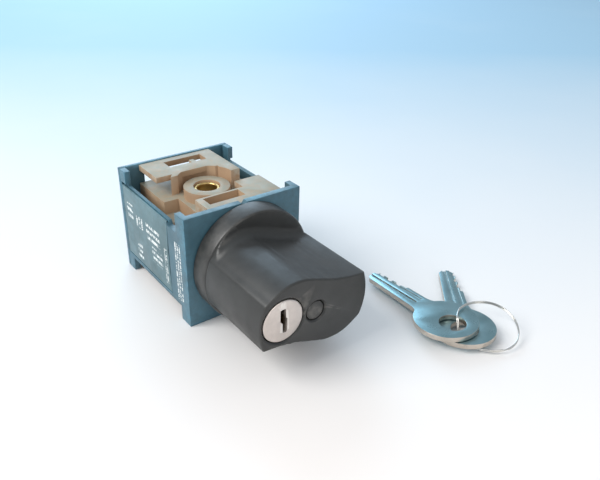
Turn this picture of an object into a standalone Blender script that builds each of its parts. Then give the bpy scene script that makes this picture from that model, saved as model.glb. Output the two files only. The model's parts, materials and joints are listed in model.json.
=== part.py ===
"""Selector key switch: faceted assembly of named sub-parts, in metres, +Z up.

Origin: on the handle's axis, at the rear face of the housing.
+Y runs from the handle to the rear, +X to the right, and the feet stand on z = FLOOR.
"""
import math

import bmesh
import bpy
from mathutils import Matrix, Vector

MM = 0.001
GAP = 0.3

# Housing, in millimetres
HALF_W = 22.5
HALF_H = 20.4
FLOOR = -20.4
DEPTH = 50.0
FRONT = -50.0
PLATE_T = 2.5
WALL_T = 2.2
WALL_TOP = 14.8
WALL_BOTTOM = -15.0
EAR_FRONT = 6.0
EAR_REAR = 5.9
COVER_T = 1.4
PANEL_T = 0.7
PANEL_FRONT = -37.4
PANEL_REAR = -2.6
PANEL_BOTTOM = -13.2

# Carriers
CARRIER_X = 20.0
CARRIER_FRONT = FRONT + PLATE_T + GAP
CARRIER_REAR = -COVER_T - GAP
CARRIER_TOP = 13.0
POCKET_FLOOR = 8.2
COVER_SCREW_Z = 5.8
CARRIER_BOTTOM = -18.4
CHAMBER_R = 9.4
CHAMBER_FRONT = -44.0
CHAMBER_REAR = -6.0
BOSS_Y = -25.0
BOSS_R = 8.3
BOSS_TOP = 17.0
BRIDGE_TOP = 17.3
REAR_TOP = 20.1

# Shaft line
SHAFT_HALF = 3.0
BORE_HALF = 3.3
BUSH_R = 6.4
BUSH_BORE = 4.55
STAGES = {"front": -34.0, "rear": -18.0}
CAM_HALF = 3.0
CAM_LOW = 6.0
CAM_TRAVEL = 2.0
WHEEL_R = 8.2
WHEEL_Y = (-42.5, -39.0)
BALL_R = 1.6
BALL_X = WHEEL_R + GAP + BALL_R
TERMINAL_X = 14.0

# Handle and lock
DISC_R = 20.4
DISC_FRONT = -58.0
HANDLE_BACK = FRONT - GAP
HANDLE_FRONT = -88.9
LOCK_X = -12.0
LOCK_Z = 1.2
LOCK_HOLE_R = 7.45
BARREL_R = 7.15
PLUG_R = 4.6
BOLT_R = 2.6
BOLT_TRAVEL = 2.6

# Keys on their ring
KEY_T = 1.8
KEY_HOLE_R = 4.6
KEY_BOW_R = 11.0
RING_R = 10.3
WIRE_R = 0.5
STRAND = KEY_T + 0.15 + GAP + WIRE_R
STACK_AT = (48.0, -105.8, -16.85)
STACK_TILT = 2.3
STACK_DOWNHILL = 75.0

ROUND = 32
SMALL_ROUND = 20


def start_scene():
    for old in list(bpy.data.objects):
        bpy.data.objects.remove(old, do_unlink=True)
    scene = bpy.context.scene
    switch = bpy.data.collections.new("selector_key_switch")
    scene.collection.children.link(switch)
    cutters = bpy.data.collections.new("cutters")
    scene.collection.children.link(cutters)
    return switch, cutters


SWITCH, CUTTERS = start_scene()

COLOURS = {
    "teal_plastic": ((0.07, 0.19, 0.25), 0.0, 0.45),
    "panel_plastic": ((0.20, 0.36, 0.40), 0.0, 0.5),
    "beige_plastic": ((0.42, 0.39, 0.31), 0.0, 0.6),
    "black_plastic": ((0.035, 0.035, 0.033), 0.0, 0.4),
    "nickel": ((0.62, 0.60, 0.56), 1.0, 0.25),
    "brass": ((0.62, 0.44, 0.16), 1.0, 0.3),
    "zinc_steel": ((0.55, 0.56, 0.57), 1.0, 0.35),
    "spring_steel": ((0.40, 0.40, 0.41), 1.0, 0.3),
    "white_nylon": ((0.72, 0.72, 0.68), 0.0, 0.5),
    "red_nylon": ((0.45, 0.07, 0.05), 0.0, 0.5),
}


def material_for(slot, node):
    colour, metallic, roughness = COLOURS[slot]
    made = bpy.data.materials.new(node + "_" + slot)
    made.use_nodes = True
    shader = made.node_tree.nodes["Principled BSDF"]
    shader.inputs["Base Color"].default_value = (*colour, 1.0)
    shader.inputs["Metallic"].default_value = metallic
    shader.inputs["Roughness"].default_value = roughness
    return made


def place(name, bm, slot=None):
    """Turns a bmesh in millimetres into an object in metres: a node, or a cutter without a slot."""
    bmesh.ops.scale(bm, vec=(MM, MM, MM), verts=bm.verts)
    bmesh.ops.recalc_face_normals(bm, faces=bm.faces)
    mesh = bpy.data.meshes.new(name)
    bm.to_mesh(mesh)
    bm.free()
    made = bpy.data.objects.new(name, mesh)
    if slot:
        SWITCH.objects.link(made)
        mesh.materials.append(material_for(slot, name))
    else:
        CUTTERS.objects.link(made)
        made.hide_render = True
        made.display_type = "WIRE"
    return made


def block(low, high):
    bm = bmesh.new()
    bmesh.ops.create_cube(bm, size=1.0)
    size = [high[i] - low[i] for i in range(3)]
    middle = [(high[i] + low[i]) / 2 for i in range(3)]
    bmesh.ops.scale(bm, vec=size, verts=bm.verts)
    bmesh.ops.translate(bm, vec=middle, verts=bm.verts)
    return bm


def turn_to(axis):
    """Rotation that takes the local Z axis to a world axis."""
    return {
        "x": Matrix.Rotation(math.pi / 2, 3, "Y"),
        "y": Matrix.Rotation(-math.pi / 2, 3, "X"),
        "z": Matrix.Identity(3),
    }[axis]


def rod(axis, at, start, end, radius, end_radius=None, segments=ROUND):
    """A cylinder or cone along a world axis. at holds the other two coordinates in X, Y, Z order."""
    bm = bmesh.new()
    top = radius if end_radius is None else end_radius
    bmesh.ops.create_cone(
        bm, cap_ends=True, segments=segments, radius1=radius, radius2=top, depth=end - start
    )
    bmesh.ops.rotate(bm, cent=(0, 0, 0), matrix=turn_to(axis), verts=bm.verts)
    middle = (start + end) / 2
    centre = {
        "x": (middle, at[0], at[1]),
        "y": (at[0], middle, at[1]),
        "z": (at[0], at[1], middle),
    }[axis]
    bmesh.ops.translate(bm, vec=centre, verts=bm.verts)
    return bm


def prism(axis, outline, start, end):
    """Extrudes a closed outline along a world axis. Points are the other two coordinates."""
    bm = bmesh.new()
    corner = {
        "x": lambda p: (start, p[0], p[1]),
        "y": lambda p: (p[0], start, p[1]),
        "z": lambda p: (p[0], p[1], start),
    }[axis]
    step = {"x": Vector((1, 0, 0)), "y": Vector((0, 1, 0)), "z": Vector((0, 0, 1))}[axis]
    face = bm.faces.new([bm.verts.new(corner(p)) for p in outline])
    moved = bmesh.ops.extrude_face_region(bm, geom=[face])
    fresh = [v for v in moved["geom"] if isinstance(v, bmesh.types.BMVert)]
    bmesh.ops.translate(bm, vec=step * (end - start), verts=fresh)
    return bm


def boolean(target, other, operation):
    step = target.modifiers.new(operation.lower(), "BOOLEAN")
    step.operation = operation
    step.object = other
    step.solver = "EXACT"


def cut(target, *shapes):
    for number, shape in enumerate(shapes):
        name = f"cut_{target.name}_{len(target.modifiers)}_{number}"
        boolean(target, place(name, shape), "DIFFERENCE")


def add(target, *shapes):
    for number, shape in enumerate(shapes):
        name = f"add_{target.name}_{len(target.modifiers)}_{number}"
        boolean(target, place(name, shape), "UNION")


def bevel(target, width, segments=1, angle=40.0):
    step = target.modifiers.new("bevel", "BEVEL")
    step.width = width * MM
    step.segments = segments
    step.limit_method = "ANGLE"
    step.angle_limit = math.radians(angle)


def turned(name, slot, profile, axis, at, segments=ROUND):
    """Screws a (radius, station) profile into a solid of revolution about a world axis."""
    bm = bmesh.new()
    points = [bm.verts.new((r * MM, 0, s * MM)) for r, s in profile]
    for a, b in zip(points, points[1:]):
        bm.edges.new((a, b))
    mesh = bpy.data.meshes.new(name)
    bm.to_mesh(mesh)
    bm.free()
    made = bpy.data.objects.new(name, mesh)
    SWITCH.objects.link(made)
    mesh.materials.append(material_for(slot, name))
    screw = made.modifiers.new("turn", "SCREW")
    screw.axis = "Z"
    screw.angle = math.tau
    screw.steps = segments
    screw.render_steps = segments
    screw.use_merge_vertices = True
    screw.merge_threshold = 0.00001
    centre = {"x": (0, at[0], at[1]), "y": (at[0], 0, at[1]), "z": (at[0], at[1], 0)}[axis]
    made.matrix_world = Matrix.Translation(Vector(centre) * MM) @ turn_to(axis).to_4x4()
    return made


def ring_profile(inner, outer, low, high):
    """A washer's closed section, outer side first, top to bottom."""
    return [(outer, high), (outer, low), (inner, low), (inner, high), (outer, high)]


# ---------------------------------------------------------------- housing


def side_outline():
    front = FRONT + EAR_FRONT
    rear = CARRIER_REAR - EAR_REAR + COVER_T + GAP
    return [
        (FRONT, -HALF_H),
        (front, -HALF_H),
        (front, WALL_BOTTOM),
        (rear, WALL_BOTTOM),
        (rear, -HALF_H),
        (CARRIER_REAR, -HALF_H),
        (CARRIER_REAR, HALF_H),
        (rear, HALF_H),
        (rear, WALL_TOP),
        (PANEL_FRONT, WALL_TOP),
        (PANEL_FRONT - 0.8, WALL_TOP - 1.4),
        (front + 0.6, WALL_TOP - 1.4),
        (front, WALL_TOP - 0.6),
        (front, HALF_H),
        (FRONT, HALF_H),
    ]


def bolt_points():
    return [(LOCK_X, LOCK_Z), (LOCK_Z, -LOCK_X)]


def housing():
    made = place(
        "housing",
        block((-HALF_W, FRONT, -HALF_H), (HALF_W, FRONT + PLATE_T, HALF_H)),
        "teal_plastic",
    )
    inner = HALF_W - WALL_T
    add(made, prism("x", side_outline(), inner, HALF_W))
    add(made, prism("x", side_outline(), -HALF_W, -inner))
    recess = PANEL_T + GAP
    for side in (-1, 1):
        low, high = sorted((side * (HALF_W - recess), side * (HALF_W + 1)))
        cut(
            made,
            block(
                (low, PANEL_FRONT - GAP, PANEL_BOTTOM - GAP),
                (high, PANEL_REAR + GAP, WALL_TOP + 1),
            ),
        )
    cut(made, rod("y", (0, 0), FRONT - 1, FRONT + PLATE_T + 1, BUSH_R + GAP))
    for x, z in bolt_points():
        cut(made, rod("y", (x, z), FRONT - 1, FRONT + PLATE_T + 1, BOLT_R + GAP, segments=16))
    for side in (-1, 1):
        edge = side * (HALF_H + 0.5)
        tip = side * (HALF_H - 1.3)
        notch = [(-1.6, edge), (0, tip), (1.6, edge)]
        cut(made, prism("y", notch, FRONT - 1, FRONT + PLATE_T + 1))
    bevel(made, 0.35)


def rear_cover():
    made = place(
        "rear_cover", block((-HALF_W, -COVER_T, -HALF_H), (HALF_W, 0, HALF_H)), "teal_plastic"
    )
    cut(made, block((-13, -COVER_T - 1, 12.3), (13, 1, 17.9)))
    for x in (-17.2, 17.2):
        for z in (-COVER_SCREW_Z, COVER_SCREW_Z):
            cut(made, rod("y", (x, z), -COVER_T - 1, 1, 1.25, segments=16))
            cut(made, rod("y", (x, z), -0.95, 0.5, 1.0, 3.42, segments=16))


def rear_screws():
    for name, x, z in (
        ("cover_screw_upper_left", -17.2, COVER_SCREW_Z),
        ("cover_screw_upper_right", 17.2, COVER_SCREW_Z),
        ("cover_screw_lower_left", -17.2, -COVER_SCREW_Z),
        ("cover_screw_lower_right", 17.2, -COVER_SCREW_Z),
    ):
        made = place(name, rod("y", (x, z), -9.6, -0.8, 0.95, segments=12), "zinc_steel")
        add(made, rod("y", (x, z), -0.95, -0.15, 1.0, 1.9, segments=12))
        cut(made, block((x - 1.3, -0.5, z - 0.22), (x + 1.3, 0.5, z + 0.22)))


def side_panels():
    for name, side in (("side_panel_left", -1), ("side_panel_right", 1)):
        low, high = sorted((side * (HALF_W - PANEL_T), side * HALF_W))
        outline = [
            (PANEL_FRONT, PANEL_BOTTOM),
            (PANEL_REAR, PANEL_BOTTOM),
            (PANEL_REAR, WALL_TOP - 0.2),
            (PANEL_FRONT, WALL_TOP - 0.2),
            (PANEL_FRONT + 0.5, 6.0),
            (PANEL_FRONT + 0.5, -5.0),
        ]
        made = place(name, prism("x", outline, low, high), "panel_plastic")
        bevel(made, 0.15)


# ---------------------------------------------------------------- carriers


def chamber_cuts(made):
    cut(made, rod("y", (0, 0), CHAMBER_FRONT, CHAMBER_REAR, CHAMBER_R, segments=40))
    cut(made, rod("y", (0, 0), CARRIER_FRONT - 1, CARRIER_REAR + 1, BUSH_R + GAP))
    middle = (WHEEL_Y[0] + WHEEL_Y[1]) / 2
    for start, end in ((-18.0, -7.5), (7.5, 18.0)):
        cut(made, rod("x", (middle, 0), start, end, BALL_R + GAP, segments=16))


def screw_bores(made, z):
    for x in (-17.2, 17.2):
        cut(made, rod("y", (x, z), -10.5, CARRIER_REAR + 1, 1.25, segments=12))


def curved_wall(carrier, low):
    """Wall round the boss under the rear bridge, with a full-height block at its right end."""
    wall = place("curved_wall", block((-10.6, -24.6, low), (14, -11.5, REAR_TOP)))
    keep = block((-10.6, -18.0, low - 1), (8.7, -5.0, REAR_TOP + 1))
    corner = place("curved_wall_corner", block((8.6, -24.6, low - 1), (14, -11.5, REAR_TOP + 1)))
    ring = place("curved_wall_ring", rod("z", (0, BOSS_Y), low - 1, REAR_TOP + 1, 12.6))
    boolean(ring, place("curved_wall_keep", keep), "INTERSECT")
    boolean(ring, corner, "UNION")
    boolean(wall, ring, "INTERSECT")
    bore = place("curved_wall_bore", rod("z", (0, BOSS_Y), low - 2, REAR_TOP + 2, 10.4))
    boolean(wall, bore, "DIFFERENCE")
    boolean(carrier, wall, "UNION")


def upper_carrier():
    made = place(
        "upper_carrier",
        block((-CARRIER_X, CARRIER_FRONT, 0.15), (CARRIER_X, CARRIER_REAR, CARRIER_TOP)),
        "beige_plastic",
    )
    low = CARRIER_TOP - 0.5
    add(made, rod("z", (0, BOSS_Y), low, BOSS_TOP, BOSS_R))
    add(made, block((-9.5, CARRIER_FRONT, low), (CARRIER_X, -33.6, BRIDGE_TOP)))
    add(made, block((9.6, -34.2, low), (CARRIER_X, -28.0, BRIDGE_TOP)))
    curved_wall(made, low)
    add(made, block((12.2, -15.8, low), (14, -3.0, REAR_TOP - 1)))
    add(made, block((-15, -16, REAR_TOP - 2.1), (14, CARRIER_REAR, REAR_TOP)))
    cut(made, block((-6.5, -10, REAR_TOP - 3), (2.4, -4.6, REAR_TOP + 1)))
    cut(made, block((2.0, -7.6, REAR_TOP - 3), (4.7, -4.6, REAR_TOP + 1)))
    cut(made, block((4.2, -10, REAR_TOP - 3), (8.5, -4.6, REAR_TOP + 1)))
    cut(made, block((-7, -39.5, 10.7), (7, -34.5, BRIDGE_TOP + 1)))
    left = -CARRIER_X - 1
    right = CARRIER_X + 1
    over = REAR_TOP + 1
    cut(made, block((left, CARRIER_FRONT - 1, POCKET_FLOOR), (-9.8, -21.5, over)))
    cut(made, block((left, -21.6, POCKET_FLOOR), (-15.3, CARRIER_REAR + 1, over)))
    cut(made, block((17.6, -27.8, POCKET_FLOOR), (right, CARRIER_REAR + 1, over)))
    cut(made, block((14.3, -8.8, POCKET_FLOOR), (right, CARRIER_REAR + 1, over)))
    cut(made, block((-18.4, -45, 5), (-12, -29, CARRIER_TOP + 1)))
    cut(made, rod("z", (-15, -37.4), 3.4, 6, 1.9, segments=3))
    cut(made, rod("z", (0, BOSS_Y), 12.0, BOSS_TOP + 1, 4.8))
    chamber_cuts(made)
    screw_bores(made, COVER_SCREW_Z)


def lower_carrier():
    made = place(
        "lower_carrier",
        block((-CARRIER_X, CARRIER_FRONT, CARRIER_BOTTOM), (CARRIER_X, CARRIER_REAR, -0.15)),
        "beige_plastic",
    )
    chamber_cuts(made)
    screw_bores(made, -COVER_SCREW_Z)
    for y in STAGES.values():
        cut(made, block((-18.5, y - 4, CARRIER_BOTTOM - 1), (18.5, y + 4, -12)))
        cut(made, block((-1.8, y - 1.8, -13), (1.8, y + 1.8, -8)))
        for x in (-TERMINAL_X, TERMINAL_X):
            cut(made, rod("z", (x, y), -12.5, -9.4, 1.8, segments=12))
    cut(made, rod("z", (0, BOSS_Y - 1), -19, -13, 1.3, segments=12))


def brass_insert():
    profile = [(4.5, 16.3), (4.5, 12.3), (3.5, 12.3), (3.5, 16.0), (3.8, 16.3), (4.5, 16.3)]
    turned("brass_insert", "brass", profile, "z", (0, BOSS_Y))


def base_plate():
    made = place("base_plate", block((-9.7, -40, -19.9), (9.7, -12, -18.7)), "beige_plastic")
    cut(made, rod("z", (0, BOSS_Y - 1), -21, -18, 2.5, segments=SMALL_ROUND))
    screw = place("base_screw", rod("z", (0, BOSS_Y - 1), -19, -14, 1.0, segments=12), "zinc_steel")
    add(screw, rod("z", (0, BOSS_Y - 1), -19.8, -18.9, 2.2, segments=SMALL_ROUND))
    cut(screw, block((-1.6, BOSS_Y - 1.25, -20.5), (1.6, BOSS_Y - 0.75, -19.4)))


# ---------------------------------------------------------------- shaft line


def bushes():
    front = ring_profile(BUSH_BORE, BUSH_R, -49.9, -44.3)
    turned("front_bush", "white_nylon", front, "y", (0, 0))
    rear = ring_profile(BUSH_BORE, BUSH_R, -5.7, -1.9)
    turned("rear_bush", "white_nylon", rear, "y", (0, 0))


def square_bore(made, start, end):
    cut(made, block((-BORE_HALF, start - 1, -BORE_HALF), (BORE_HALF, end + 1, BORE_HALF)))


def drive_shaft():
    made = place(
        "drive_shaft",
        block((-SHAFT_HALF, -60, -SHAFT_HALF), (SHAFT_HALF, -2.1, SHAFT_HALF)),
        "zinc_steel",
    )
    cut(made, rod("y", (0, 0), -61, -52, 1.8, segments=SMALL_ROUND))
    bevel(made, 0.3)


def index_wheel():
    start, end = WHEEL_Y
    made = place("index_wheel", rod("y", (0, 0), start, end, WHEEL_R, segments=40), "white_nylon")
    for quarter in range(4):
        angle = quarter * math.pi / 2
        at = (9.5 * math.cos(angle), 9.5 * math.sin(angle))
        cut(made, rod("y", at, start - 1, end + 1, 2.1, segments=SMALL_ROUND))
    square_bore(made, start, end)


def cam_outline(rising):
    """Archimedean spiral over the working quarter, then a straight run back to its start."""
    lead = 15.0
    span = 90.0 + 2 * lead
    points = []
    for number in range(45):
        degrees = number * 8.0
        if degrees <= span:
            share = (degrees - lead) / 90.0
        else:
            back = (degrees - span) / (360.0 - span)
            share = 1 + lead / 90.0 - back * (1 + 2 * lead / 90.0)
        if not rising:
            share = 1 - share
        radius = CAM_LOW + CAM_TRAVEL * share
        angle = math.radians(degrees - lead)
        points.append((radius * math.sin(angle), -radius * math.cos(angle)))
    return points


def cams():
    for name, y, rising in (
        ("cam_front", STAGES["front"], True),
        ("cam_rear", STAGES["rear"], False),
    ):
        outline = cam_outline(rising)
        made = place(name, prism("y", outline, y - CAM_HALF, y + CAM_HALF), "red_nylon")
        square_bore(made, y - CAM_HALF, y + CAM_HALF)
    start = STAGES["front"] + CAM_HALF + GAP
    end = STAGES["rear"] - CAM_HALF - GAP
    made = place("cam_spacer", rod("y", (0, 0), start, end, 5.6), "white_nylon")
    square_bore(made, start, end)


def shaft_clip():
    made = turned(
        "shaft_clip", "spring_steel", ring_profile(4.6, 6.0, -7.4, -6.6), "y", (0, 0), SMALL_ROUND
    )
    cut(made, block((-1.6, -9, 3), (1.6, -5, 8)))


# ---------------------------------------------------------------- contacts


def coil(name, axis, at, start, end, radius, wire, turns):
    """A compression spring: one polyline helix with a round section and filled ends."""
    curve = bpy.data.curves.new(name, "CURVE")
    curve.dimensions = "3D"
    curve.bevel_depth = wire * MM
    curve.bevel_resolution = 1
    curve.use_fill_caps = True
    steps = int(turns * 10)
    line = curve.splines.new("POLY")
    line.points.add(steps)
    for number in range(steps + 1):
        share = number / steps
        angle = share * turns * math.tau
        along = start + wire + share * (end - start - 2 * wire)
        a = radius * math.cos(angle)
        b = radius * math.sin(angle)
        point = {
            "x": (along, at[0] + a, at[1] + b),
            "z": (at[0] + a, at[1] + b, along),
        }[axis]
        line.points[number].co = (*(Vector(point) * MM), 1)
    helper = bpy.data.objects.new(name + "_curve", curve)
    SWITCH.objects.link(helper)
    bpy.context.view_layer.update()
    shape = helper.evaluated_get(bpy.context.evaluated_depsgraph_get())
    mesh = bpy.data.meshes.new_from_object(shape)
    bpy.data.objects.remove(helper, do_unlink=True)
    bm = bmesh.new()
    bm.from_mesh(mesh)
    bmesh.ops.remove_doubles(bm, verts=bm.verts, dist=0.000001)
    bmesh.ops.scale(bm, vec=(1 / MM, 1 / MM, 1 / MM), verts=bm.verts)
    bpy.data.meshes.remove(mesh)
    return place(name, bm, "spring_steel")


def contact_stage(stage):
    y = STAGES[stage]
    drop = 0.0 if stage == "front" else CAM_TRAVEL
    tip = -(CAM_LOW + drop + GAP)
    plunger = place(
        "plunger_" + stage, block((-1.5, y - 1.5, -12.9 - drop), (1.5, y + 1.5, tip - 1.0)), "white_nylon"
    )
    add(plunger, rod("y", (0, tip - 1.0), y - 1.5, y + 1.5, 1.0, segments=16))
    top = -13.2 - drop
    bridge = place(
        "contact_bridge_" + stage, block((-8, y - 2.5, top - 0.8), (8, y + 2.5, top)), "brass"
    )
    for x in (-6.5, 6.5):
        cut(bridge, block((x - 2.4, y - 3, top - 2), (x - 2.1, y + 3, top - 0.5)))
    bevel(bridge, 0.1)
    coil("contact_spring_" + stage, "z", (0, y), -18.4, top - 1.1, 2.2, 0.25, 3.0 if drop else 4.0)
    for side, sign in (("left", -1), ("right", 1)):
        fixed_contact(stage, side, sign, y)


def fixed_contact(stage, side, sign, y):
    low, high = sorted((sign * 5.2, sign * 17.6))
    bar = place(
        f"fixed_contact_{stage}_{side}", block((low, y - 2.5, -12.9), (high, y + 2.5, -12.3)), "brass"
    )
    at = (sign * TERMINAL_X, y)
    cut(bar, rod("z", at, -14, -11, 1.8, segments=12))
    clamp = place(
        f"terminal_clamp_{stage}_{side}",
        block((at[0] - 3, y - 3, -14.6), (at[0] + 3, y + 3, -13.7)),
        "zinc_steel",
    )
    cut(clamp, rod("z", at, -16, -12, 1.8, segments=12))
    screw = place(
        f"terminal_screw_{stage}_{side}", rod("z", at, -15.5, -9.8, 1.45, segments=12), "zinc_steel"
    )
    add(screw, rod("z", at, -16.9, -14.9, 2.7, segments=16))
    cut(screw, block((at[0] - 3, y - 0.35, -18), (at[0] + 3, y + 0.35, -16.1)))


def index_balls():
    middle = (WHEEL_Y[0] + WHEEL_Y[1]) / 2
    for side, sign in (("left", -1), ("right", 1)):
        bm = bmesh.new()
        bmesh.ops.create_icosphere(bm, subdivisions=2, radius=BALL_R)
        bmesh.ops.translate(bm, vec=(sign * BALL_X, middle, 0), verts=bm.verts)
        place("index_ball_" + side, bm, "spring_steel")
        start, end = sorted((sign * (BALL_X + BALL_R + GAP), sign * 17.7))
        coil("index_spring_" + side, "x", (middle, 0), start, end, 1.3, 0.22, 4.0)


# ---------------------------------------------------------------- handle


def handle_outline():
    """Half the grip's outline, then the same half turned by 180 degrees."""
    half = []
    for degrees in (20, 14, 8, 2, -4, -10, -16, -22, -25):
        angle = math.radians(degrees)
        half.append((20.2 * math.cos(angle), 20.2 * math.sin(angle)))
    half += [(16.4, -9.9), (14.4, -11.2), (12.3, -12.2), (10.2, -12.8), (8.2, -13.0)]
    half += [(6.2, -13.0), (4.4, -12.8), (2.0, -12.1), (-1.2, -11.0), (-4.8, -9.7)]
    half += [(-7.8, -8.7), (-10.8, -8.0), (-13.2, -7.5), (-15.4, -7.2), (-17.4, -7.0)]
    return half + [(-x, -z) for x, z in half]


def handle_grip():
    outline = handle_outline()
    made = place("handle_grip", prism("y", outline, HANDLE_FRONT, DISC_FRONT + 1), "black_plastic")
    bevel(made, 0.45, angle=50)
    disc = place("handle_disc", rod("y", (0, 0), DISC_FRONT, HANDLE_BACK, DISC_R - 0.7, DISC_R, segments=48))
    boolean(made, disc, "UNION")
    at = (LOCK_X, LOCK_Z)
    cut(made, rod("y", at, HANDLE_FRONT - 1, -57.5, LOCK_HOLE_R, segments=ROUND))
    cut(made, rod("y", at, -58, HANDLE_BACK + 1, BOLT_R + GAP, segments=16))
    cut(made, rod("y", (0, 0), HANDLE_FRONT - 1, HANDLE_FRONT + 3.7, 3.5, segments=SMALL_ROUND))
    cut(made, rod("y", (0, 0), HANDLE_FRONT, -60, 1.8, segments=SMALL_ROUND))
    cut(made, block((-BORE_HALF, -60.4, -BORE_HALF), (BORE_HALF, HANDLE_BACK + 1, BORE_HALF)))


def handle_screw():
    """Fixing screw under a plain press-in cap."""
    head = HANDLE_FRONT + 1.6
    made = place(
        "handle_screw", rod("y", (0, 0), head + 1, -54, 1.45, segments=SMALL_ROUND), "black_plastic"
    )
    add(made, rod("y", (0, 0), head, head + 1.8, 3.1, segments=SMALL_ROUND))
    cut(made, block((-4, head - 1, -0.4), (4, head + 0.7, 0.4)))
    cap = place(
        "screw_cap", rod("y", (0, 0), HANDLE_FRONT + 0.5, head - GAP, 3.2, segments=SMALL_ROUND), "black_plastic"
    )
    bevel(cap, 0.15)


def barrel():
    at = (LOCK_X, LOCK_Z)
    made = turned("lock_barrel", "nickel", ring_profile(4.9, BARREL_R, -87.1, -68.0), "y", at)
    return made


def lock_plug():
    at = (LOCK_X, LOCK_Z)
    made = place("lock_plug", rod("y", at, -88.4, -66.2, PLUG_R, segments=ROUND), "nickel")
    add(made, rod("y", at, -88.8, -87.4, 7.1, segments=ROUND))
    slots = [LOCK_SLOT_Y + number * 3.6 for number in range(4)]
    for y in slots:
        cut(made, block((LOCK_X - 2.5, y - 0.6, LOCK_Z - 6), (LOCK_X + 2.5, y + 0.6, LOCK_Z + 6)))
    keyway = [(-1.1, 4.0), (0.9, 4.0), (0.9, 1.4), (1.4, 0.6), (1.4, -4.0), (-0.3, -4.0), (-0.3, -0.8)]
    keyway += [(-1.1, 0.0)]
    outline = [(LOCK_X + x, LOCK_Z + z) for x, z in keyway]
    cut(made, prism("y", outline, -90, -67.6))
    for number, y in enumerate(slots):
        wafer(number + 1, y)


LOCK_SLOT_Y = -84.6


def wafer(number, y):
    made = place(
        f"wafer_{number}",
        block((LOCK_X - 2.15, y - 0.3, LOCK_Z - 3.9), (LOCK_X + 2.15, y + 0.3, LOCK_Z + 3.9)),
        "brass",
    )
    drop = 0.5 * math.sin(number * 2.1)
    cut(
        made,
        block((LOCK_X - 1.3, y - 1, LOCK_Z - 2.6 + drop), (LOCK_X + 1.3, y + 1, LOCK_Z + 2.6 + drop)),
    )


def lock_clip():
    made = turned(
        "lock_clip", "spring_steel", ring_profile(4.9, 6.6, -67.7, -66.9), "y", (LOCK_X, LOCK_Z)
    )
    cut(made, block((LOCK_X - 1.5, -69, LOCK_Z - 8), (LOCK_X + 1.5, -66, LOCK_Z - 3)))


def ramp():
    """Helical ramp on the lock cam: its height grows in proportion to its angle."""
    bm = bmesh.new()
    base = -64.9
    rings = []
    for number in range(11):
        degrees = -18.0 + number * 11.4
        height = 0.6 + BOLT_TRAVEL * (degrees + 18.0) / 90.0
        angle = -math.radians(degrees)
        c = math.sin(angle)
        s = math.cos(angle)
        ring = []
        for radius, y in ((2.1, base), (4.3, base), (4.3, base + height), (2.1, base + height)):
            ring.append(bm.verts.new((LOCK_X + radius * c, y, LOCK_Z + radius * s)))
        rings.append(ring)
    for a, b in zip(rings, rings[1:]):
        for k in range(4):
            bm.faces.new((a[k], a[(k + 1) % 4], b[(k + 1) % 4], b[k]))
    bm.faces.new(rings[0])
    bm.faces.new(list(reversed(rings[-1])))
    return bm


def lock_cam():
    at = (LOCK_X, LOCK_Z)
    made = place("lock_cam", rod("y", at, -65.9, -64.4, PLUG_R), "zinc_steel")
    add(made, ramp())


def lock_bolt():
    """Bolt behind the cam. Its round nose rides on the ramp, straight above the lock's axis."""
    made = place(
        "lock_bolt", rod("y", (LOCK_X, LOCK_Z), -60.7, -50.6, BOLT_R, segments=SMALL_ROUND), "nickel"
    )
    nose_y = -64.9 + 0.6 + BOLT_TRAVEL * 18.0 / 90.0 + 0.4 + 0.5
    add(made, block((LOCK_X - 0.5, nose_y, LOCK_Z + 0.4), (LOCK_X + 0.5, -60.4, LOCK_Z + 3.6)))
    add(made, rod("z", (LOCK_X, nose_y), LOCK_Z + 2.2, LOCK_Z + 3.6, 0.5, segments=12))


# ---------------------------------------------------------------- keys


def stack_frame():
    """Frame of the two stacked keys: lying almost flat, sloping down towards the blades."""
    downhill = Vector((math.cos(math.radians(STACK_DOWNHILL)), math.sin(math.radians(STACK_DOWNHILL)), 0))
    side = Vector((0, 0, 1)).cross(downhill)
    tilt = Matrix.Rotation(math.radians(STACK_TILT), 4, side)
    return Matrix.Translation(Vector(STACK_AT) * MM) @ tilt


def key_outline():
    """Bow at the origin, blade along +X. The hole is nearer to the bow's end."""
    points = []
    for number in range(25):
        angle = math.radians(24.0 + number * 13.0)
        points.append((KEY_BOW_R * math.cos(angle), KEY_BOW_R * math.sin(angle)))
    lower = [(14.0, -3.9), (21.6, -3.9), (21.9, -3.0)]
    lower += [(24.0, -3.0), (24.8, -2.3), (26.0, -2.3), (26.8, -3.0), (28.4, -3.0), (29.2, -2.0)]
    lower += [(30.2, -2.0), (31.0, -2.8), (32.6, -2.8), (33.2, -2.2), (34.4, -2.2), (35.2, -2.7)]
    upper = [(36.6, -1.2), (36.9, 0.0), (36.4, 1.6), (34.8, 3.0), (14.0, 3.9)]
    return points + lower + upper


def key(name, hole_at, hole_from_bow, heading, low, high):
    made = place(name, prism("z", key_outline(), low, high), "nickel")
    cut(made, rod("z", (-hole_from_bow, 0), low - 1, high + 1, KEY_HOLE_R, segments=24))
    cut(made, block((13.5, 0.2, high - 0.5), (38, 1.5, high + 1)))
    cut(made, block((13.5, -1.3, low - 1), (38, -0.1, low + 0.5)))
    bevel(made, 0.2, angle=50)
    turn = math.radians(heading)
    bow_x = hole_at[0] + hole_from_bow * math.cos(turn)
    bow_y = hole_at[1] + hole_from_bow * math.sin(turn)
    local = Matrix.Translation(Vector((bow_x, bow_y, 0)) * MM) @ Matrix.Rotation(turn, 4, "Z")
    whole = stack_frame() @ local
    made.matrix_world = whole
    for step in made.modifiers:
        if step.type == "BOOLEAN":
            step.object.matrix_world = whole


def keys():
    key("key_1", (-1.5, 1.3), 3.0, 89.6, 0.15, 0.15 + KEY_T)
    key("key_2", (1.4, -1.6), 2.2, 50.6, -0.15 - KEY_T, -0.15)


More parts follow.
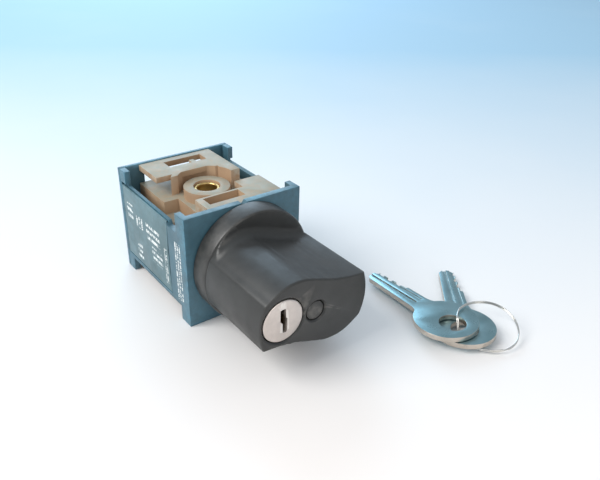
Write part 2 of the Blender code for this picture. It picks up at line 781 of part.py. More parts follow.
def key_ring():
    """Ring through both holes: above the keys on its far side, beneath them on its near side."""
    curve = bpy.data.curves.new("key_ring", "CURVE")
    curve.dimensions = "3D"
    curve.bevel_depth = WIRE_R * MM
    curve.bevel_resolution = 1
    line = curve.splines.new("POLY")
    count = 90
    line.points.add(count - 1)
    line.use_cyclic_u = True
    toward = math.radians(-30.0)
    for number in range(count):
        around = math.tau * number / count
        side = math.pi - around
        share = abs(side) / math.radians(15.0)
        lift = math.sin(min(share, 1.0) * math.pi / 2)
        if abs(side) > math.radians(105):
            lift = math.cos((abs(side) - math.radians(105)) / math.radians(75) * math.pi / 2)
        w = STRAND * lift * (1 if side > 0 else -1)
        x = RING_R + RING_R * math.cos(around)
        y = RING_R * math.sin(around)
        turned_x = x * math.cos(toward) - y * math.sin(toward)
        turned_y = x * math.sin(toward) + y * math.cos(toward)
        line.points[number].co = (*(Vector((turned_x, turned_y, w)) * MM), 1)
    helper = bpy.data.objects.new("ring_curve", curve)
    SWITCH.objects.link(helper)
    bpy.context.view_layer.update()
    shape = helper.evaluated_get(bpy.context.evaluated_depsgraph_get())
    mesh = bpy.data.meshes.new_from_object(shape)
    bpy.data.objects.remove(helper, do_unlink=True)
    bm = bmesh.new()
    bm.from_mesh(mesh)
    bmesh.ops.remove_doubles(bm, verts=bm.verts, dist=0.000001)
    bmesh.ops.scale(bm, vec=(1 / MM, 1 / MM, 1 / MM), verts=bm.verts)
    bpy.data.meshes.remove(mesh)
    made = place("key_ring", bm, "nickel")
    made.matrix_world = stack_frame()


def build():
    housing()
    rear_cover()
    rear_screws()
    side_panels()
    upper_carrier()
    lower_carrier()
    brass_insert()
    base_plate()
    bushes()
    drive_shaft()
    index_wheel()
    cams()
    shaft_clip()
    for stage in STAGES:
        contact_stage(stage)
    index_balls()
    handle_grip()
    handle_screw()
    barrel()
    lock_plug()
    lock_clip()
    lock_cam()
    lock_bolt()
    keys()
    key_ring()


build()
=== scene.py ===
"""Looks of the selector key switch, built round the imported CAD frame. Metres, +Z up."""
import json
import math

import bmesh
import bpy
from mathutils import Matrix, Vector


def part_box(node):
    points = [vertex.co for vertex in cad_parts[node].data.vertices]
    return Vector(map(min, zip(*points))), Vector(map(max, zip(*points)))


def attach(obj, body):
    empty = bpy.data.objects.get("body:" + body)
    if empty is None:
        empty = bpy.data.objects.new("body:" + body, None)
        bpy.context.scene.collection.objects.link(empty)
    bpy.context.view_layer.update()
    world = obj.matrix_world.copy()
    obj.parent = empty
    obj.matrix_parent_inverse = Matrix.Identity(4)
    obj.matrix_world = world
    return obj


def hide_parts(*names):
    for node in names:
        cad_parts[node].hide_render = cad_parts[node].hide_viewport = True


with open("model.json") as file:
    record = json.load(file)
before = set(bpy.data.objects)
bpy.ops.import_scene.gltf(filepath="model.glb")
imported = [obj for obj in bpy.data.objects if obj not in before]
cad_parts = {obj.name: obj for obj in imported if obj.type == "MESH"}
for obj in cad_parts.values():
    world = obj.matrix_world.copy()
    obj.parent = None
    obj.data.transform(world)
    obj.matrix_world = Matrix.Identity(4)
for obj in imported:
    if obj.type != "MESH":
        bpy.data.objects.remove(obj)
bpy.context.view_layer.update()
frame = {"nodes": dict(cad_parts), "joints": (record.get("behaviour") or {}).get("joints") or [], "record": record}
NODES = frame["nodes"]
BODIES = frame["record"]["behaviour"]["bodies"]
BODY_OF = {node: body for body, nodes in BODIES.items() for node in nodes}
JOINTS = {joint["name"]: joint for joint in frame["joints"]}
SLOT_OF = {part["node"]: part["material_slot"] for part in frame["record"]["subparts"]}

MM = 0.001
FLOOR_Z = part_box("housing")[0].z
SCENE = bpy.context.scene


# ---------------------------------------------------------------- materials


class Net:
    """Builds one material's nodes. Every call returns the socket that the next call takes."""

    def __init__(self, material):
        self.material = material
        self.material.use_nodes = True
        self.tree = material.node_tree
        self.shader = self.tree.nodes["Principled BSDF"]
        self.at = self.add("ShaderNodeTexCoord").outputs["Object"]

    @classmethod
    def named(cls, name):
        return cls(bpy.data.materials.new(name))

    def add(self, kind, **settings):
        node = self.tree.nodes.new(kind)
        for key, value in settings.items():
            setattr(node, key, value)
        return node

    def feed(self, socket, value):
        if isinstance(value, bpy.types.NodeSocket):
            self.tree.links.new(value, socket)
        else:
            socket.default_value = value

    def scaled(self, x, y, z):
        node = self.add("ShaderNodeMapping")
        self.feed(node.inputs["Vector"], self.at)
        node.inputs["Scale"].default_value = (x, y, z)
        return node.outputs["Vector"]

    def noise(self, scale, detail=3.0, roughness=0.55, at=None):
        node = self.add("ShaderNodeTexNoise")
        self.feed(node.inputs["Vector"], at or self.at)
        node.inputs["Scale"].default_value = scale
        node.inputs["Detail"].default_value = detail
        node.inputs["Roughness"].default_value = roughness
        return node.outputs["Fac"]

    def math(self, operation, a, b=0.0, c=0.0):
        node = self.add("ShaderNodeMath", operation=operation)
        for socket, value in zip(node.inputs, (a, b, c)):
            self.feed(socket, value)
        return node.outputs[0]

    def span(self, value, low, high, to_low=0.0, to_high=1.0):
        node = self.add("ShaderNodeMapRange")
        self.feed(node.inputs["Value"], value)
        ends = {"From Min": low, "From Max": high, "To Min": to_low, "To Max": to_high}
        for key, number in ends.items():
            node.inputs[key].default_value = number
        return node.outputs["Result"]

    def mix(self, share, a, b):
        node = self.add("ShaderNodeMix", data_type="RGBA")
        self.feed(node.inputs["Factor"], share)
        for socket, value in ((node.inputs[6], a), (node.inputs[7], b)):
            self.feed(socket, value if isinstance(value, bpy.types.NodeSocket) else (*value, 1.0))
        return node.outputs[2]

    def place(self):
        node = self.add("ShaderNodeSeparateXYZ")
        self.feed(node.inputs[0], self.at)
        return node.outputs

    def edges(self, low=0.52, high=0.62):
        point = self.add("ShaderNodeNewGeometry").outputs["Pointiness"]
        return self.span(point, low, high)

    def bump(self, height, strength, distance):
        node = self.add("ShaderNodeBump")
        node.inputs["Strength"].default_value = strength
        node.inputs["Distance"].default_value = distance
        self.feed(node.inputs["Height"], height)
        return node.outputs["Normal"]

    def finish(self, colour, roughness, normal=None):
        self.feed(self.shader.inputs["Base Color"], colour)
        self.feed(self.shader.inputs["Roughness"], roughness)
        if normal:
            self.feed(self.shader.inputs["Normal"], normal)
        return self.material


def tint(colour, factor):
    return tuple(min(1.0, channel * factor) for channel in colour)


def moulded(name, colour, rough, grain=0.12, edge_wear_and_highlight=None, dust_and_top_light=0.0, dust_and_top_light_colour=None, low=None):
    """Moulded plastic: slight colour drift, spark-eroded grain, rubbed edges with painted highlight, and painted
    cool light from above on upward faces, broken into dust-like specks.
    """
    net = Net.named(name)
    drift = net.noise(70.0, 4.0)
    low = low or tint(colour, 0.82)
    body = net.mix(net.span(drift, 0.3, 0.7), low, tint(colour, 1.15))
    # Edges lightened toward a paler colour: partly rubbed wear, partly painted highlight.
    if edge_wear_and_highlight:
        scuff_and_highlight = net.math("MULTIPLY", net.edges(), net.span(net.noise(420.0, 5.0), 0.35, 0.62))
        body = net.mix(net.math("MULTIPLY", scuff_and_highlight, 0.8), body, edge_wear_and_highlight)
    # Upward faces tinted toward a cooler colour in specks: painted light from above, with some dust.
    if dust_and_top_light:
        up = net.add("ShaderNodeSeparateXYZ")
        net.feed(up.inputs[0], net.add("ShaderNodeNewGeometry").outputs["Normal"])
        lying = net.span(up.outputs["Z"], 0.55, 1.0)
        specks = net.span(net.noise(300.0, 6.0, 0.7), 0.36, 0.6, 0.45, 1.0)
        share = net.math("MULTIPLY", net.math("MULTIPLY", lying, specks), dust_and_top_light)
        body = net.mix(share, body, dust_and_top_light_colour)
    smear = net.span(net.noise(160.0, 3.0), 0.3, 0.75, rough - 0.09, rough + 0.12)
    fine = net.noise(5200.0, 2.0, 0.6)
    broad = net.noise(260.0, 2.0)
    height = net.math("ADD", fine, net.math("MULTIPLY", broad, 0.8))
    return net.finish(body, smear, net.bump(height, grain, 0.00012))


def metal(name, colour, rough, stretch=(1, 1, 1), brush=0.12, stain=None):
    """Metal with fine directional scratches, cloudy tarnish and brighter rubbed edges."""
    net = Net.named(name)
    net.shader.inputs["Metallic"].default_value = 1.0
    lines = net.noise(900.0, 5.0, 0.65, net.scaled(*stretch))
    cloud = net.noise(140.0, 4.0)
    body = net.mix(net.span(cloud, 0.32, 0.7), tint(colour, 0.82), tint(colour, 1.08))
    if stain:
        spots = net.span(net.noise(330.0, 6.0, 0.7), 0.55, 0.72, 0.0, 0.65)
        body = net.mix(spots, body, stain)
    body = net.mix(net.math("MULTIPLY", net.edges(), 0.45), body, tint(colour, 1.3))
    clouded = net.span(cloud, 0.3, 0.7, rough - 0.05, rough + 0.08)
    gloss = net.math("ADD", clouded, net.span(lines, 0.3, 0.7, -0.04, 0.06))
    return net.finish(body, gloss, net.bump(lines, brush, 0.00005))


def lathe_turned(name, colour, rough, centre, front):
    """Metal face with concentric turning marks about an axis along Y, a painted highlight on its edges and painted
    shade deeper inside its keyway.
    """
    net = Net.named(name)
    net.shader.inputs["Metallic"].default_value = 1.0
    x, y, z = net.place()
    dx = net.math("SUBTRACT", x, centre[0])
    dz = net.math("SUBTRACT", z, centre[2])
    squares = net.math("ADD", net.math("MULTIPLY", dx, dx), net.math("MULTIPLY", dz, dz))
    radius = net.math("SQRT", squares)
    along = net.add("ShaderNodeCombineXYZ")
    net.feed(along.inputs[0], radius)
    rings = net.noise(5200.0, 3.0, 0.7, along.outputs[0])
    cloud = net.noise(240.0, 4.0)
    body = net.mix(net.span(cloud, 0.3, 0.7), tint(colour, 0.88), tint(colour, 1.08))
    # Edges lightened to near white: painted highlight on the rim.
    body = net.mix(net.math("MULTIPLY", net.edges(), 0.5), body, (0.95, 0.92, 0.88))
    # Darker deeper into the keyway: painted shade.
    inside = net.span(net.math("SUBTRACT", y, front), 0.5 * MM, 2.5 * MM)
    body = net.mix(inside, body, (0.10, 0.066, 0.035))
    gloss = net.span(rings, 0.3, 0.7, rough - 0.06, rough + 0.08)
    return net.finish(body, gloss, net.bump(rings, 0.25, 0.00004))


def in_band(net, value, low, high):
    above = net.math("GREATER_THAN", value, low)
    below = net.math("LESS_THAN", value, high)
    return net.math("MULTIPLY", above, below)


def printed(name, colour, rough, edge_wear_and_highlight, patches):
    """Side plastic with worn pad printing: rows of broken strokes that spell nothing.

    A patch is y low, y high, z low, z high and row pitch in millimetres, then the rows' axis.
    """
    made = moulded(name, colour, rough, edge_wear_and_highlight=edge_wear_and_highlight)
    net = Net(made)
    below = net.shader.inputs["Base Color"].links[0].from_socket
    _, y, z = net.place()
    ink = None
    for y_low, y_high, z_low, z_high, pitch, along in patches:
        inside_y = in_band(net, y, y_low * MM, y_high * MM)
        inside_z = in_band(net, z, z_low * MM, z_high * MM)
        inside = net.math("MULTIPLY", inside_y, inside_z)
        across = z if along == "y" else y
        rows = net.math("FRACT", net.math("DIVIDE", across, pitch * MM))
        row = in_band(net, rows, 0.22, 0.74)
        stroke = net.scaled(1, 1600, 500) if along == "y" else net.scaled(1, 500, 1600)
        breaks = net.math("GREATER_THAN", net.noise(1.0, 1.0, 0.4, stroke), 0.47)
        patch = net.math("MULTIPLY", inside, net.math("MULTIPLY", row, breaks))
        ink = patch if ink is None else net.math("MAXIMUM", ink, patch)
    rubbed = net.span(net.noise(700.0, 4.0), 0.34, 0.5, 0.35, 0.95)
    body = net.mix(net.math("MULTIPLY", ink, rubbed), below, INK)
    net.feed(net.shader.inputs["Base Color"], body)
    return made


INK = (0.82, 0.85, 0.84)
TEAL = (0.060, 0.138, 0.180)
# Paler blue for the teal's edges: partly rubbed wear, partly painted highlight.
TEAL_EDGE_WEAR_AND_HIGHLIGHT = (0.10, 0.30, 0.42)
FRONT_STRIP = [(-46.6, -42.2, -13.0, 9.5, 1.45, "z")]
PANEL_MARKS = [
    (-31.0, -20.5, 0.5, 8.0, 2.5, "y"),
    (-32.0, -24.0, -7.0, -1.0, 2.1, "y"),
    (-35.8, -34.0, -11.0, 3.0, 1.2, "z"),
    (-17.5, -12.5, 2.0, 6.5, 2.0, "z"),
    (-15.5, -11.5, -11.5, -5.0, 2.3, "y"),
    (-10.0, -5.0, 2.5, 9.0, 2.6, "y"),
]

MATERIALS = {
    "teal_plastic": printed("housing_teal", TEAL, 0.42, TEAL_EDGE_WEAR_AND_HIGHLIGHT, FRONT_STRIP),
    "panel_plastic": printed(
        "label_panel", (0.105, 0.175, 0.195), 0.5, (0.2, 0.36, 0.42), PANEL_MARKS
    ),
    "beige_plastic": moulded(
        "carrier_beige", (0.42, 0.29, 0.18), 0.55, 0.18, (0.50, 0.46, 0.37),
        0.9, (0.29, 0.305, 0.25), (0.36, 0.22, 0.13),
    ),
    "black_plastic": moulded(
        "handle_black", (0.030, 0.031, 0.030), 0.40, 0.10, (0.12, 0.115, 0.105),
        0.22, (0.075, 0.085, 0.095),
    ),
    "nickel": metal("nickel_plate", (0.60, 0.60, 0.58), 0.24, (1, 6, 1), 0.10, (0.42, 0.38, 0.30)),
    "brass": metal("brass", (0.62, 0.44, 0.18), 0.30, (4, 1, 4), 0.12, (0.28, 0.18, 0.08)),
    "zinc_steel": metal(
        "zinc_plated_steel", (0.58, 0.59, 0.60), 0.33, (1, 1, 5), 0.12, (0.36, 0.34, 0.30)
    ),
    "spring_steel": metal("spring_steel", (0.42, 0.42, 0.43), 0.28, (3, 3, 3), 0.08),
    "white_nylon": moulded("natural_nylon", (0.70, 0.69, 0.63), 0.45, 0.06),
    "red_nylon": moulded("red_nylon", (0.42, 0.055, 0.04), 0.42, 0.06),
}


# ---------------------------------------------------------------- shared mesh tools


def link(name, mesh):
    made = bpy.data.objects.new(name, mesh)
    SCENE.collection.objects.link(made)
    return made


def wear(piece, node, material=None, *more):
    """Gives a piece its material, slot and body, and hides the CAD nodes it stands for."""
    piece.data.materials.clear()
    piece.data.materials.append(material or MATERIALS[SLOT_OF[node]])
    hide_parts(node, *more)
    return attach(piece, BODY_OF[node])


def soften(piece, width, segments=2, angle=35.0):
    step = piece.modifiers.new("round_edges", "BEVEL")
    step.width = width * MM
    step.segments = segments
    step.limit_method = "ANGLE"
    step.angle_limit = math.radians(angle)
    step.use_clamp_overlap = True
    return piece


def shade(mesh, angle=38.0):
    for face in mesh.polygons:
        face.use_smooth = True
    mesh.set_sharp_from_angle(angle=math.radians(angle))


def bake(piece):
    """Applies a piece's modifiers to its mesh."""
    shape = piece.evaluated_get(bpy.context.evaluated_depsgraph_get())
    mesh = bpy.data.meshes.new_from_object(shape)
    piece.modifiers.clear()
    piece.data = mesh
    return piece


def refined(node, width):
    """The CAD solid again as clean flat faces, with every edge rounded."""
    bm = bmesh.new()
    bm.from_mesh(NODES[node].data)
    bmesh.ops.remove_doubles(bm, verts=bm.verts, dist=0.000002)
    bmesh.ops.dissolve_limit(bm, angle_limit=math.radians(1.0), verts=bm.verts, edges=bm.edges)
    mesh = bpy.data.meshes.new(node + "_fine")
    bm.to_mesh(mesh)
    bm.free()
    piece = soften(link(node + "_fine", mesh), width)
    bake(piece)
    shade(piece.data)
    return wear(piece, node)


def mesh_of(name, bm):
    bmesh.ops.recalc_face_normals(bm, faces=bm.faces)
    mesh = bpy.data.meshes.new(name)
    bm.to_mesh(mesh)
    bm.free()
    return link(name, mesh)


def skin(rings):
    """Quads between rings of points, with flat caps."""
    bm = bmesh.new()
    rows = [[bm.verts.new(p) for p in ring] for ring in rings]
    for a, b in zip(rows, rows[1:]):
        for i in range(len(a)):
            j = (i + 1) % len(a)
            bm.faces.new((a[i], a[j], b[j], b[i]))
    bm.faces.new(rows[0])
    bm.faces.new(list(reversed(rows[-1])))
    return bm


def carve(piece, *shapes):
    """Cuts each shape out of the piece."""
    made = []
    for number, bm in enumerate(shapes):
        tool = mesh_of(f"{piece.name}_tool_{number}", bm)
        step = piece.modifiers.new("carve", "BOOLEAN")
        step.operation = "DIFFERENCE"
        step.object = tool
        step.solver = "EXACT"
        made.append(tool)
    bpy.context.view_layer.update()
    bake(piece)
    for tool in made:
        bpy.data.objects.remove(tool, do_unlink=True)
    return piece


def rod_y(centre, start, end, radius, end_radius=None, segments=64):
    """Cylinder or cone along Y, in metres."""
    bm = bmesh.new()
    last = radius if end_radius is None else end_radius
    bmesh.ops.create_cone(
        bm, cap_ends=True, segments=segments, radius1=radius, radius2=last, depth=end - start
    )
    upright_to_y = Matrix.Rotation(-math.pi / 2, 3, "X")
    bmesh.ops.rotate(bm, cent=(0, 0, 0), matrix=upright_to_y, verts=bm.verts)
    bmesh.ops.translate(bm, vec=(centre[0], (start + end) / 2, centre[2]), verts=bm.verts)
    return bm


def drawn(outline, start, end, axis="y"):
    """An outline of (a, b) points in metres, extruded along Y or Z."""
    bm = bmesh.new()
    if axis == "y":
        ring = [bm.verts.new((a, start, b)) for a, b in outline]
        step = Vector((0, end - start, 0))
    else:
        ring = [bm.verts.new((a, b, start)) for a, b in outline]
        step = Vector((0, 0, end - start))
    moved = bmesh.ops.extrude_face_region(bm, geom=[bm.faces.new(ring)])
    fresh = [v for v in moved["geom"] if isinstance(v, bmesh.types.BMVert)]
    bmesh.ops.translate(bm, vec=step, verts=fresh)
    return bm


# ---------------------------------------------------------------- handle


GRIP_CONTROL = [
    (16.4, -9.9), (14.4, -11.2), (12.3, -12.2), (10.2, -12.8), (8.2, -13.0),
    (6.2, -13.0), (4.4, -12.8), (2.0, -12.1), (-1.2, -11.0), (-4.8, -9.7),
    (-7.8, -8.7), (-10.8, -8.0), (-13.2, -7.5), (-15.4, -7.2), (-17.4, -7.0),
]
GRIP_R = 20.2
ARC_LOW = -25.0
ARC_HIGH = 20.0
DISC_DEPTH = 7.7
FILLET = 3.6
EDGE = 0.7
# The lock's hole and the bolt's bore stop short of the solid's, and cross the bolt, cam and plug.
LOCK_HOLE_R = 7.45
LOCK_HOLE_DEPTH = 20
BOLT_BORE_FROM = 18
CAP_HOLE_R = 3.5
CAP_HOLE_DEPTH = 3.7
CHAMFER = 0.5
SCREW_BORE_R = 1.8


def grip_radius(degrees):
    """The grip's outline as radius against angle; the same every half turn."""
    turn = (degrees - ARC_LOW) % 180.0 + ARC_LOW
    if turn <= ARC_HIGH:
        return GRIP_R
    stations = [(ARC_HIGH, GRIP_R)]
    for x, z in reversed(GRIP_CONTROL):
        stations.append((math.degrees(math.atan2(-z, -x)), math.hypot(x, z)))
    stations.append((ARC_LOW + 180.0, GRIP_R))
    for k in range(len(stations) - 1):
        a0, r0 = stations[k]
        a1, r1 = stations[k + 1]
        if turn <= a1:
            before = stations[k - 1][1] if k else r0 + (r0 - r1) * 0.2
            after = stations[k + 2][1] if k + 2 < len(stations) else r1
            t = (turn - a0) / (a1 - a0)
            cubic = t * (3 * (r0 - r1) + after - before)
            square = t * (2 * before - 5 * r0 + 4 * r1 - after + cubic)
            return r0 + 0.5 * t * (r1 - before + square)
    return GRIP_R


def handle():
    """Disc and waved grip as one skin, cut for the lock, cap, screw, bolt and shaft."""
    low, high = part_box("handle_grip")
    front, back = low.y, high.y
    disc_r = high.x / MM
    disc_front = back - DISC_DEPTH * MM
    count = 240
    angles = [ARC_LOW + 360.0 * k / count for k in range(count)]

    def ring(y, inset=0.0, flare=0.0):
        points = []
        for degrees in angles:
            radius = grip_radius(degrees) - inset
            radius += min(flare, max(0.0, disc_r - 0.75 - radius))
            a = math.radians(degrees)
            points.append((radius * math.cos(a) * MM, y, radius * math.sin(a) * MM))
        return points

    def circle(y, radius):
        return [
            (radius * math.cos(math.radians(d)) * MM, y, radius * math.sin(math.radians(d)) * MM)
            for d in angles
        ]

    rings = [ring(front, inset=EDGE + 0.3)]
    for k in range(4, -1, -1):
        s = math.radians(90 * k / 4)
        rings.append(ring(front + EDGE * MM * (1 - math.sin(s)), inset=EDGE * (1 - math.cos(s))))
    rings.append(ring(disc_front - FILLET * MM))
    for k in range(1, 9):
        s = math.radians(90 * k / 8)
        y = disc_front - FILLET * MM * (1 - math.sin(s))
        rings.append(ring(y, flare=FILLET * (1 - math.cos(s))))
    rings.append(circle(disc_front + 0.05 * MM, disc_r - 0.7))
    rings.append(circle(disc_front + 0.35 * MM, disc_r - 0.25))
    rings.append(circle(disc_front + 0.9 * MM, disc_r - 0.05))
    rings.append(circle(back - 0.3 * MM, disc_r))
    rings.append(circle(back, disc_r - 0.3))
    piece = mesh_of("handle_shell", skin(rings))
    plug_low, plug_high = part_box("lock_plug")
    lock = (plug_low + plug_high) / 2
    bolt_low, bolt_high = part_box("lock_bolt")
    bolt = (bolt_low + bolt_high) / 2
    bolt_r = (bolt_high.x - bolt_low.x) / 2 + 0.15 * MM
    axis = Vector()
    before, lip = front - 2 * MM, front - 0.01 * MM
    lock_r, cap_r, chamfer = LOCK_HOLE_R * MM, CAP_HOLE_R * MM, CHAMFER * MM
    carve(
        piece,
        rod_y(bolt, front + BOLT_BORE_FROM * MM, back + 1 * MM, bolt_r, segments=32),
        rod_y(lock, before, front + LOCK_HOLE_DEPTH * MM, lock_r),
        rod_y(lock, lip, front + 0.45 * MM, lock_r + chamfer, lock_r),
        rod_y(axis, before, front + CAP_HOLE_DEPTH * MM, cap_r, segments=48),
        rod_y(axis, lip, front + chamfer, cap_r + chamfer, cap_r, segments=48),
        rod_y(axis, front, front + 30 * MM, SCREW_BORE_R * MM, segments=24),
        rod_y(axis, back - 6 * MM, back + 1 * MM, 4.7 * MM, segments=4),
    )
    shade(piece.data, 32.0)
    for face in piece.data.polygons:
        if abs(face.normal.y) > 0.9995:
            face.use_smooth = False
    wear(piece, "handle_grip")
    return lock


def lock_face(lock):
    """The plug with its rounded rim and its keyway."""
    low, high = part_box("lock_plug")
    radius = (high.x - low.x) / 2
    rim = [(0.55, 0.0), (0.6, 0.01), (0.93, 0.01), (0.965, 0.10), (0.99, 0.22), (1.0, 0.45)]
    profile = [(share, low.y + depth * MM) for share, depth in rim]
    step_y = low.y + 1.4 * MM
    profile += [(1.0, step_y), (0.648, step_y), (0.648, high.y)]
    rings = []
    for share, y in profile:
        rings.append([
            (lock.x + radius * share * math.cos(a), y, lock.z + radius * share * math.sin(a))
            for a in (math.tau * k / 96 for k in range(96))
        ])
    piece = mesh_of("lock_plug_turned", skin(rings))
    keyway = [
        (-1.1, 4.0), (-0.6, 4.25), (0.4, 4.25), (0.9, 4.0), (0.9, 1.5),
        (1.05, 1.05), (1.4, 0.6), (1.4, -3.6), (1.1, -4.1), (0.0, -4.1),
        (-0.3, -3.8), (-0.3, -0.9), (-0.5, -0.45), (-1.1, 0.0),
    ]
    outline = [(lock.x + x * MM, lock.z + z * MM) for x, z in keyway]
    carve(piece, drawn(outline, low.y - MM, high.y - 2 * MM))
    soften(piece, 0.09, 2, 60.0)
    bake(piece)
    shade(piece.data)
    turned = lathe_turned("lock_face_satin", (0.66, 0.60, 0.56), 0.42, lock, low.y)
    wear(piece, "lock_plug", turned)


# ---------------------------------------------------------------- keys and ring


KEY_T = 1.8
KEY_GAP = 0.15
BOW_R = 11.0
KEY_HOLE_R = 4.6
FIRST_HOLE = Vector((-1.5, 1.3, 0))
SECOND_HOLE = Vector((1.4, -1.6, 0))
WIRE_R = 0.245
RING_TURN = -30.0
RING_RADIUS = 10.3
STRAND = 2.75


def stack_matrix():
    """Tilt of the stacked keys, from the first key's swivel axis."""
    normal = Vector(JOINTS["key_1_swivel"]["axis"]).normalized()
    downhill = Vector((normal.x, normal.y, 0)).normalized()
    side = Vector((0, 0, 1)).cross(downhill)
    tilt = math.atan2(math.hypot(normal.x, normal.y), normal.z)
    return Matrix.Rotation(tilt, 4, side)


def arc(radius, start, end, count):
    return [
        (radius * math.cos(math.radians(start + (end - start) * k / count)),
         radius * math.sin(math.radians(start + (end - start) * k / count)))
        for k in range(count + 1)
    ]


def key_outline():
    bow = arc(BOW_R, 26.0, 334.0, 72)
    neck_low = [(10.9, -4.35), (12.2, -4.0), (14.0, -3.9), (21.6, -3.9), (21.9, -3.0), (24.0, -3.0)]
    cuts = [(24.8, -2.3), (26.0, -2.3), (26.8, -3.0), (28.4, -3.0), (29.2, -2.0), (30.2, -2.0)]
    cuts += [(31.0, -2.8), (32.6, -2.8), (33.2, -2.2), (34.4, -2.2), (35.2, -2.7)]
    tip = [(36.0, -1.9), (36.6, -1.2), (36.9, 0.0), (36.75, 0.8)]
    tip += [(36.4, 1.6), (35.8, 2.3), (34.8, 3.0)]
    return bow + neck_low + cuts + tip + [(14.0, 3.9), (12.2, 4.0), (10.9, 4.35)]


def key(node, joint, hole_from_bow, heading, low, high):
    """Cut key blank with a rounded bow, milled blade grooves and edge cuts."""
    outline = [(a * MM, b * MM) for a, b in key_outline()]
    piece = mesh_of(node + "_cut", drawn(outline, low * MM, high * MM, "z"))
    hole = bmesh.new()
    hole_r = KEY_HOLE_R * MM
    bmesh.ops.create_cone(
        hole, cap_ends=True, segments=48, radius1=hole_r, radius2=hole_r, depth=8 * MM
    )
    bmesh.ops.translate(hole, vec=(-hole_from_bow * MM, 0, 0), verts=hole.verts)
    grooves = []
    half = 0.62
    for across, bottom, top in (
        (0.85, high - 0.5, high + 1), (-0.7, low - 1, low + 0.5), (-1.9, high - 0.3, high + 1),
    ):
        path = [(13.5, across - half), (38, across - half)]
        path += [(38, across + half), (13.5, across + half)]
        path += [(13.1, across + 0.3), (13.0, across), (13.1, across - 0.3)]
        outline = [(a * MM, b * MM) for a, b in path]
        grooves.append(drawn(outline, bottom * MM, top * MM, "z"))
    carve(piece, hole, *grooves)
    soften(piece, 0.22, 3, 40.0)
    bake(piece)
    shade(piece.data)
    turn = math.radians(heading)
    hole_at = Vector(JOINTS[joint]["pos_m"])
    local = Matrix.Rotation(turn, 4, "Z") @ Matrix.Translation((hole_from_bow * MM, 0, 0))
    piece.data.transform(Matrix.Translation(hole_at) @ stack_matrix() @ local)
    wear(piece, node, KEY_METAL)


def key_metal():
    """Worn nickel: flats painted with a cool reflection of the surroundings, warmer milled edges, and cloudy
    finger marks.
    """
    made = metal("key_nickel", (0.60, 0.54, 0.47), 0.30, (3, 3, 1), 0.10, (0.30, 0.26, 0.21))
    net = Net(made)
    below = net.shader.inputs["Base Color"].links[0].from_socket
    facing = net.add("ShaderNodeSeparateXYZ")
    net.feed(facing.inputs[0], net.add("ShaderNodeNewGeometry").outputs["Normal"])
    flat = net.span(net.math("ABSOLUTE", facing.outputs["Z"]), 0.75, 0.97)
    cloud = net.span(net.noise(110.0, 4.0), 0.3, 0.7)
    # Flat faces tinted blue-teal: painted reflection of the cool surroundings on the nickel.
    painted_light_tint = net.mix(cloud, (0.20, 0.37, 0.42), (0.30, 0.50, 0.56))
    body = net.mix(net.math("MULTIPLY", flat, 0.92), below, painted_light_tint)
    net.feed(net.shader.inputs["Base Color"], body)
    return made


KEY_METAL = key_metal()
RING_METAL = metal("ring_nickel", (0.66, 0.65, 0.62), 0.20, (2, 2, 2), 0.06)


def ring_point(around):
    """Centre line of the ring in the keys' frame, from its crossing of the holes."""
    side = math.pi - around
    lift = math.sin(min(abs(side) / math.radians(15.0), 1.0) * math.pi / 2)
    if abs(side) > math.radians(105):
        lift = math.cos((abs(side) - math.radians(105)) / math.radians(75) * math.pi / 2)
    x = RING_RADIUS + RING_RADIUS * math.cos(around)
    y = RING_RADIUS * math.sin(around)
    return Vector((x, y, STRAND * lift * (1 if side > 0 else -1)))


def key_ring():
    """Split ring: one round wire wound twice, its two ends lying close together."""
    curve = bpy.data.curves.new("split_ring", "CURVE")
    curve.dimensions = "3D"
    curve.bevel_depth = WIRE_R * MM
    curve.bevel_resolution = 3
    curve.use_fill_caps = True
    count = 300
    line = curve.splines.new("POLY")
    line.points.add(count - 1)
    first_at = Vector(JOINTS["key_1_swivel"]["pos_m"])
    second_at = Vector(JOINTS["key_2_swivel"]["pos_m"])
    middle = (first_at + second_at) / 2
    origin = middle - stack_matrix() @ ((FIRST_HOLE + SECOND_HOLE) / 2 * MM)
    turned = Matrix.Rotation(math.radians(RING_TURN), 4, "Z")
    place = Matrix.Translation(origin) @ stack_matrix() @ turned
    start = math.radians(-70)
    for k in range(count):
        share = k / (count - 1)
        around = (start + share * 2 * math.tau * 0.985) % math.tau
        step = 0.25 * (1 if share > 0.52 else -1 if share < 0.48 else (share - 0.5) / 0.02)
        steep = abs(math.pi - around) < math.radians(15.0)
        point = ring_point(around)
        inward = Vector((point.x - RING_RADIUS, point.y, 0)).normalized()
        point += inward * step * 0.9 if steep else Vector((0, 0, step))
        line.points[k].co = (*(place @ (point * MM)), 1)
    helper = bpy.data.objects.new("split_ring_curve", curve)
    SCENE.collection.objects.link(helper)
    bpy.context.view_layer.update()
    shape = helper.evaluated_get(bpy.context.evaluated_depsgraph_get())
    mesh = bpy.data.meshes.new_from_object(shape)
    bpy.data.objects.remove(helper, do_unlink=True)
    piece = link("split_ring", mesh)
    shade(mesh, 60)
    wear(piece, "key_ring", RING_METAL)


# ---------------------------------------------------------------- stage


CAMERA_AT = (-0.09998, -0.20917, 0.11329)
CAMERA_AZ = -37.74
CAMERA_EL = 29.63
CAMERA_ROLL = 1.59
CAMERA_LENS = 38.34


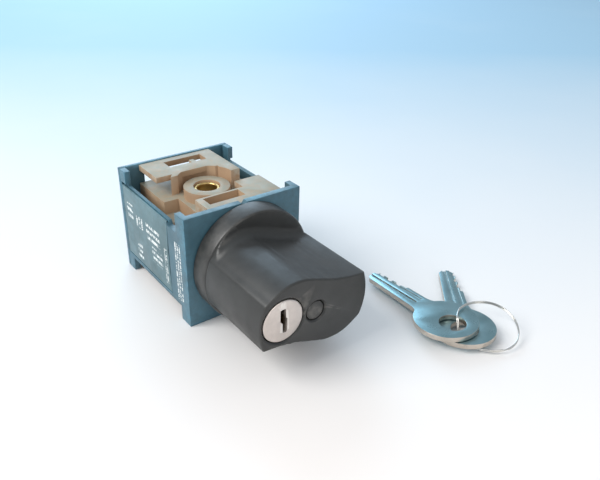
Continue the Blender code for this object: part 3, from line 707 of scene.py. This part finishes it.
def camera():
    data = bpy.data.cameras.new("camera")
    data.sensor_width = 36.0
    data.lens = CAMERA_LENS
    data.clip_start = 0.005
    made = bpy.data.objects.new("camera", data)
    SCENE.collection.objects.link(made)
    az = math.radians(CAMERA_AZ)
    el = math.radians(CAMERA_EL)
    back = Vector((math.sin(az) * math.cos(el), -math.cos(az) * math.cos(el), math.sin(el)))
    right = (-back).cross(Vector((0, 0, 1))).normalized()
    up = right.cross(-back)
    roll = math.radians(CAMERA_ROLL)
    rolled_right = right * math.cos(roll) + up * math.sin(roll)
    rolled_up = up * math.cos(roll) - right * math.sin(roll)
    turn = Matrix((rolled_right, rolled_up, back)).transposed()
    made.matrix_world = Matrix.Translation(CAMERA_AT) @ turn.to_4x4()
    SCENE.camera = made


def floor():
    """A pale table with painted light: cool blue at its far side and warm, bright near the camera."""
    bm = bmesh.new()
    bmesh.ops.create_grid(bm, x_segments=24, y_segments=24, size=4.0)
    piece = mesh_of("table", bm)
    piece.location = (0, 0, FLOOR_Z - 0.05 * MM)
    net = Net.named("table_top")
    x, y, _ = net.place()
    # Painted light: the table's colour runs from warm and bright near the camera to cool blue far away.
    depth = net.math("ADD", net.math("MULTIPLY", y, 0.80), net.math("MULTIPLY", x, 0.55))
    near_to_far = net.span(depth, -0.11, 0.34)
    soft = net.span(net.noise(6.0, 3.0), 0.3, 0.7, -0.04, 0.04)
    share = net.math("ADD", near_to_far, soft)
    painted_light_tint = net.mix(share, (0.93, 0.885, 0.86), (0.43, 0.64, 0.79))
    marks = net.span(net.noise(900.0, 5.0, 0.7), 0.66, 0.78, 0.0, 0.25)
    body = net.mix(marks, painted_light_tint, (0.72, 0.66, 0.62))
    net.shader.inputs["Specular IOR Level"].default_value = 0.25
    grain = net.bump(net.noise(420.0, 4.0), 0.08, 0.0002)
    piece.data.materials.append(net.finish(body, 0.7, grain))


def lamp(name, at, target, size, power, colour):
    data = bpy.data.lights.new(name, "AREA")
    data.shape = "DISK"
    data.size = size
    data.energy = power
    data.color = colour
    made = bpy.data.objects.new(name, data)
    SCENE.collection.objects.link(made)
    made.location = at
    made.rotation_euler = (Vector(target) - Vector(at)).to_track_quat("-Z", "Y").to_euler()


def lights():
    lamp("soft_key", (-0.62, 0.12, 0.62), (0.0, -0.05, 0), 0.6, 6.5, (1.0, 0.985, 0.96))
    lamp("cool_back", (0.40, 0.85, 0.50), (0.0, -0.05, 0), 0.7, 5.0, (0.60, 0.82, 1.0))
    lamp("warm_front", (-0.10, -0.85, 0.40), (0.02, -0.05, 0), 0.6, 1.6, (1.0, 0.93, 0.86))
    world = bpy.data.worlds.new("studio")
    SCENE.world = world
    world.use_nodes = True
    background = world.node_tree.nodes["Background"]
    background.inputs["Color"].default_value = (0.86, 0.93, 1.0, 1.0)
    background.inputs["Strength"].default_value = 0.55
    SCENE.view_settings.view_transform = "Standard"


# ---------------------------------------------------------------- assembly


def dress_cad():
    """Every CAD node gets its worked material, also the ones inside."""
    for node, piece in NODES.items():
        piece.data.materials.clear()
        piece.data.materials.append(MATERIALS[SLOT_OF[node]])


REFINED = {
    "housing": 0.30,
    "rear_cover": 0.22,
    "side_panel_left": 0.12,
    "side_panel_right": 0.12,
    "upper_carrier": 0.22,
    "lower_carrier": 0.15,
    "base_plate": 0.2,
    "brass_insert": 0.12,
    "screw_cap": 0.25,
}


def build():
    dress_cad()
    for node, width in REFINED.items():
        refined(node, width)
    lock = handle()
    lock_face(lock)
    key("key_1", "key_1_swivel", 3.0, 89.6, KEY_GAP, KEY_GAP + KEY_T)
    key("key_2", "key_2_swivel", 2.2, 50.6, -KEY_GAP - KEY_T, -KEY_GAP)
    key_ring()
    camera()
    floor()
    lights()


build()
